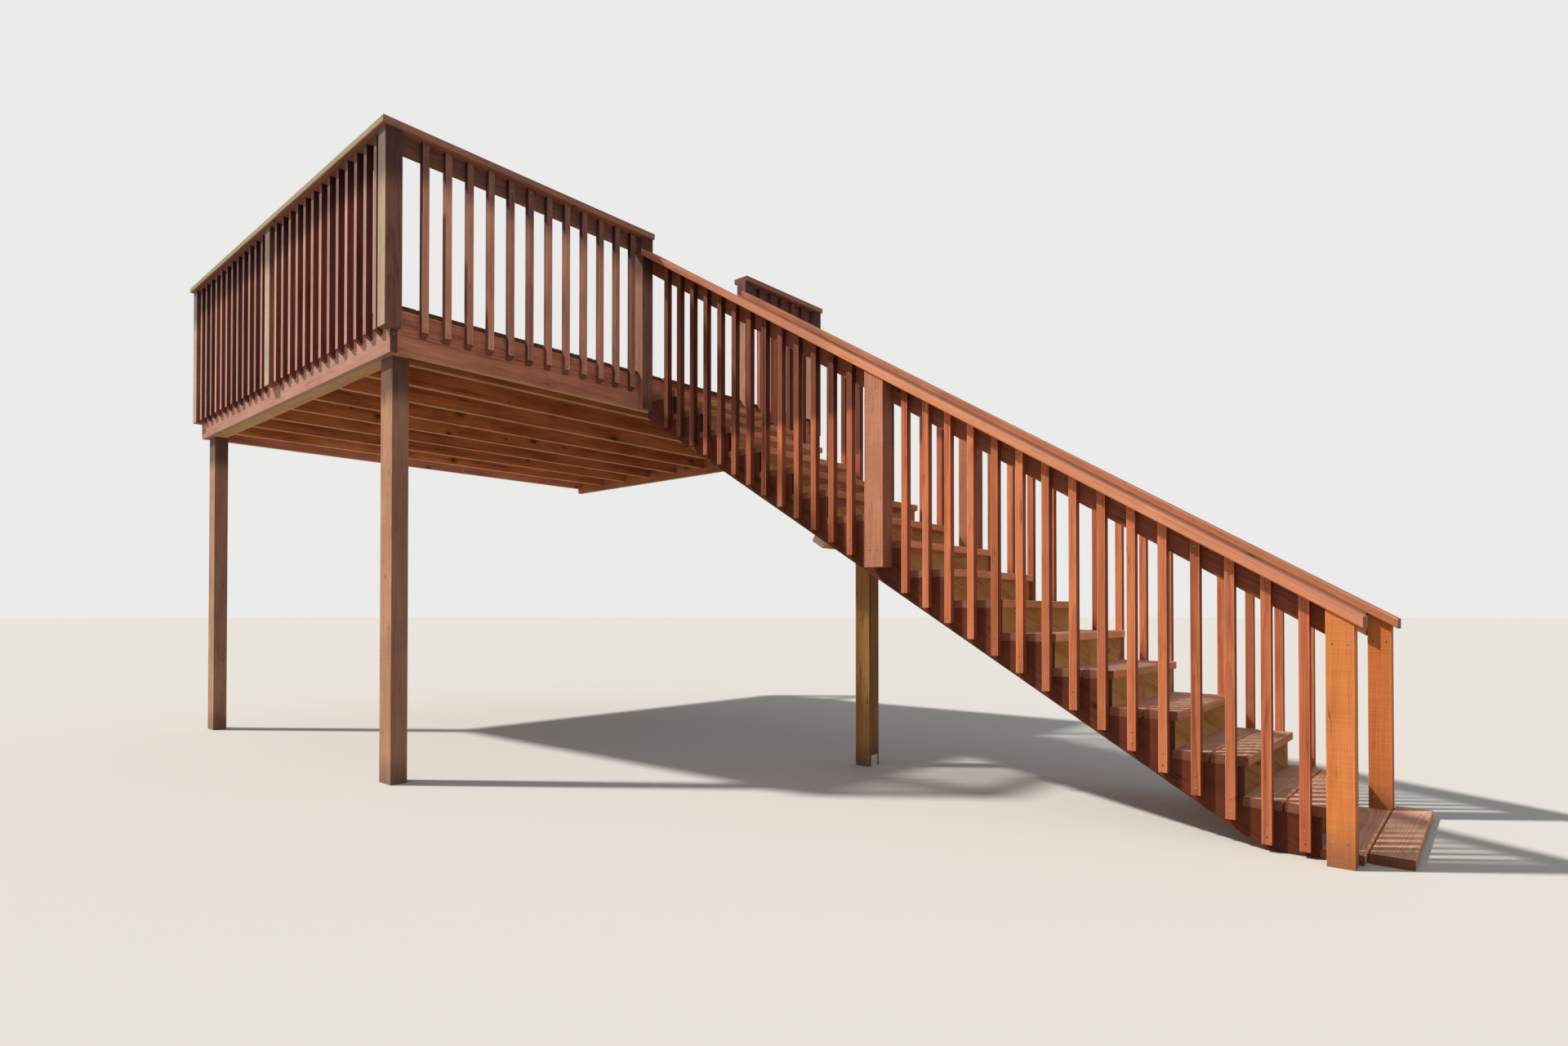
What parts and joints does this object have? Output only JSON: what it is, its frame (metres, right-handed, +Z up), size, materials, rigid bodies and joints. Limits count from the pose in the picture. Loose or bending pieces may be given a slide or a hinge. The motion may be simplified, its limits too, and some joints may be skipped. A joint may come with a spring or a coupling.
{
  "type": "deck stairs",
  "caption": "Raised timber deck on posts and a wall ledger, with square-baluster railings and one long straight flight of open stairs on saw-tooth stringers.",
  "frame": {"origin": "middle of the ledger's back face, where the deck meets the wall", "axes": "+X along the wall towards the foot of the flight, +Y into the wall, +Z up; metres"},
  "size_m": [7.758, 3.651, 3.533],
  "materials": {
    "fascia_pale": "thin pale pink-brown stain, matt, knots showing",
    "stain_red": "red-brown semi-transparent stain, matt",
    "stain_orange": "orange-brown semi-transparent stain, matt, sun-bleached",
    "stain_dark": "dark red-brown stain, matt",
    "frame_brown": "orange-brown stained framing timber, matt",
    "raw_pine": "bare yellow-brown sawn timber",
    "worn_boards": "worn grey-brown stain, scuffed",
    "galvanised": "dull zinc"
  },
  "bodies": {
    "root": {"front_fascia": "fascia_pale", "front_beam": "frame_brown", "side_rims": "stain_red", "joists": "frame_brown", "ledger": "frame_brown", "decking": "worn_boards", "deck_posts": "stain_orange", "stringer_near": "stain_dark", "stringer_middle": "raw_pine", "stringer_far": "raw_pine", "stair_cleat": "raw_pine", "stair_prop": "raw_pine", "prop_shoe": "galvanised", "rail_posts": "stain_red", "flight_posts": "stain_orange", "newels": "stain_orange", "cap_front": "stain_red", "caps_side": "stain_red", "caps_flight": "stain_orange", "sub_rails_front": "stain_red", "sub_rails_side": "stain_red", "sub_rails_flight": "stain_dark", "balusters_front": "stain_orange", "balusters_left": "stain_orange", "balusters_right": "stain_orange", "balusters_short": "stain_orange", "balusters_near": "stain_orange", "balusters_far": "stain_orange", "tread_01": "worn_boards", "tread_02": "worn_boards", "tread_03": "worn_boards", "tread_04": "worn_boards", "tread_05": "worn_boards", "tread_06": "worn_boards", "tread_07": "worn_boards", "tread_08": "worn_boards", "tread_09": "worn_boards", "tread_10": "worn_boards", "tread_11": "worn_boards", "tread_12": "worn_boards", "tread_13": "worn_boards", "tread_14": "worn_boards", "tread_15": "worn_boards", "tread_16": "worn_boards"}
  },
  "joints": []
}
